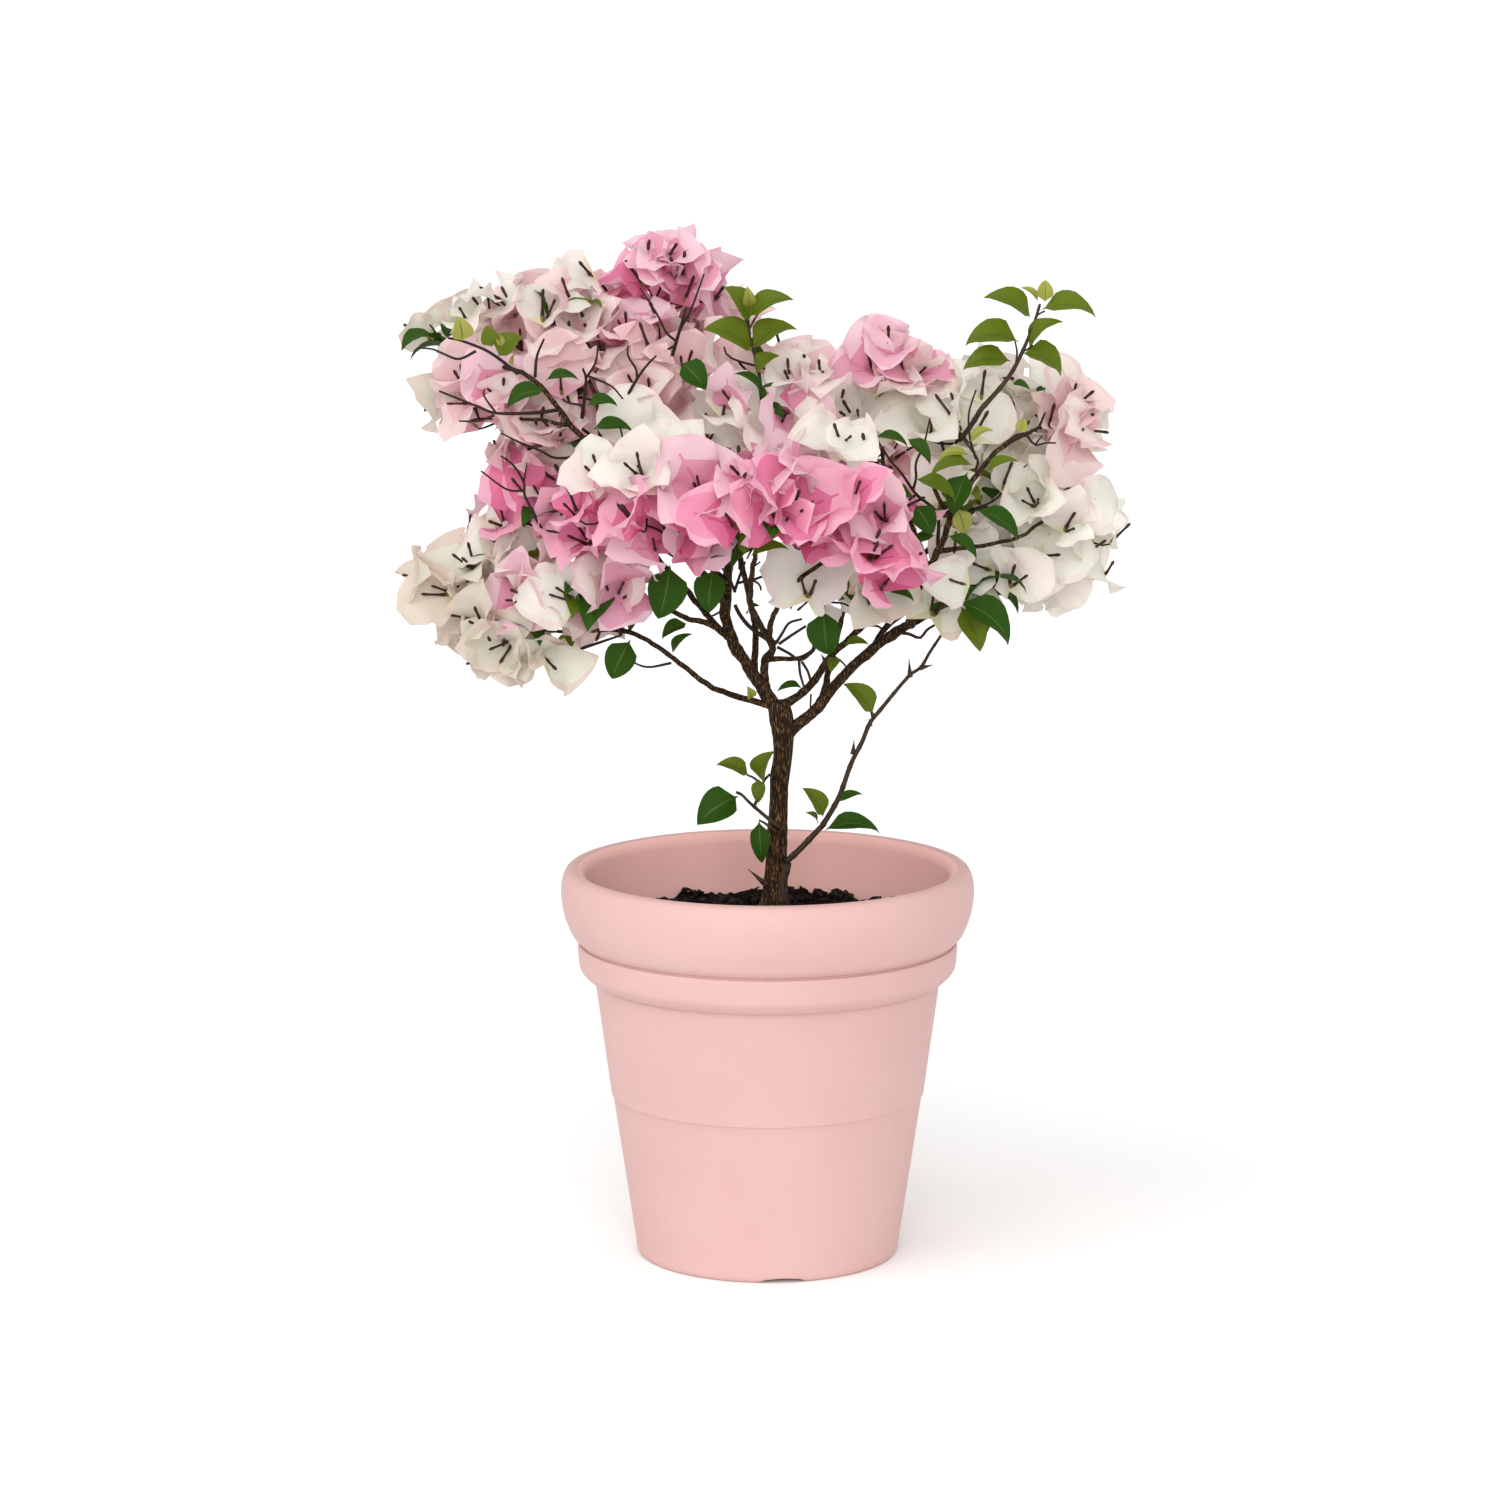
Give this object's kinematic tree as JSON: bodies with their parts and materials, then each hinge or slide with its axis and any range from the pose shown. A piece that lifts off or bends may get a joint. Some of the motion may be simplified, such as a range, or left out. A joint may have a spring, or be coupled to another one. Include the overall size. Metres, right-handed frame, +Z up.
{
  "type": "potted bougainvillea bush",
  "caption": "Bougainvillea bush with an upright trunk, forked boughs and a spreading crown of pink and white papery bracts, in a round tapered pot.",
  "frame": {"origin": "centre of the pot's flat underside, on the ground", "axes": "+Z up the pot and trunk, +X to the right and -Y to the front of the crown's broad side"},
  "size_m": [0.4451, 0.3147, 0.619],
  "materials": {
    "pot": "matte pale pink moulded plastic",
    "soil": "moist dark potting mix, lumpy",
    "bark": "dark brown bark with lighter fissures",
    "leaf": "green leaves with a soft gloss",
    "blossom_cream": "papery bracts, cream",
    "blossom_white": "papery bracts, white",
    "blossom_blush": "papery bracts, pale blush",
    "blossom_pink": "papery bracts, pink",
    "blossom_rose": "papery bracts, deep rose"
  },
  "bodies": {
    "root": {"blossom_back_centre": "blossom_pink", "blossom_back_left": "blossom_blush", "blossom_back_right": "blossom_blush", "blossom_back_right_side": "blossom_white", "blossom_back_top": "blossom_blush", "blossom_centre_top": "blossom_blush", "blossom_front_left": "blossom_rose", "blossom_front_mid": "blossom_rose", "blossom_front_right": "blossom_rose", "blossom_left_edge": "blossom_blush", "blossom_left_low": "blossom_cream", "blossom_left_low_outer": "blossom_cream", "blossom_left_mid": "blossom_pink", "blossom_low_centre_left": "blossom_blush", "blossom_low_centre_right": "blossom_white", "blossom_right_centre": "blossom_white", "blossom_right_low": "blossom_white", "blossom_right_low_inner": "blossom_white", "blossom_right_mid": "blossom_white", "blossom_right_top": "blossom_white", "blossom_right_top_outer": "blossom_white", "blossom_top": "blossom_pink", "blossom_top_centre_right": "blossom_blush", "blossom_top_left": "blossom_blush", "blossom_top_left_outer": "blossom_cream", "blossom_upper_left": "blossom_blush", "blossom_upper_mid": "blossom_blush", "bough_back_centre": "bark", "bough_back_left": "bark", "bough_back_right": "bark", "bough_back_right_side": "bark", "bough_back_top": "bark", "bough_centre_top": "bark", "bough_front_left": "bark", "bough_front_mid": "bark", "bough_front_right": "bark", "bough_left_edge": "bark", "bough_left_low": "bark", "bough_left_low_outer": "bark", "bough_left_mid": "bark", "bough_low_centre_left": "bark", "bough_low_centre_right": "bark", "bough_right": "bark", "bough_right_centre": "bark", "bough_right_low": "bark", "bough_right_low_inner": "bark", "bough_right_mid": "bark", "bough_right_top": "bark", "bough_right_top_outer": "bark", "bough_top": "bark", "bough_top_centre_right": "bark", "bough_top_left": "bark", "bough_top_left_outer": "bark", "bough_upper_left": "bark", "bough_upper_mid": "bark", "left_shoot": "leaf", "pot": "pot", "right_shoot": "leaf", "soil": "soil", "trunk": "bark"}
  },
  "joints": []
}
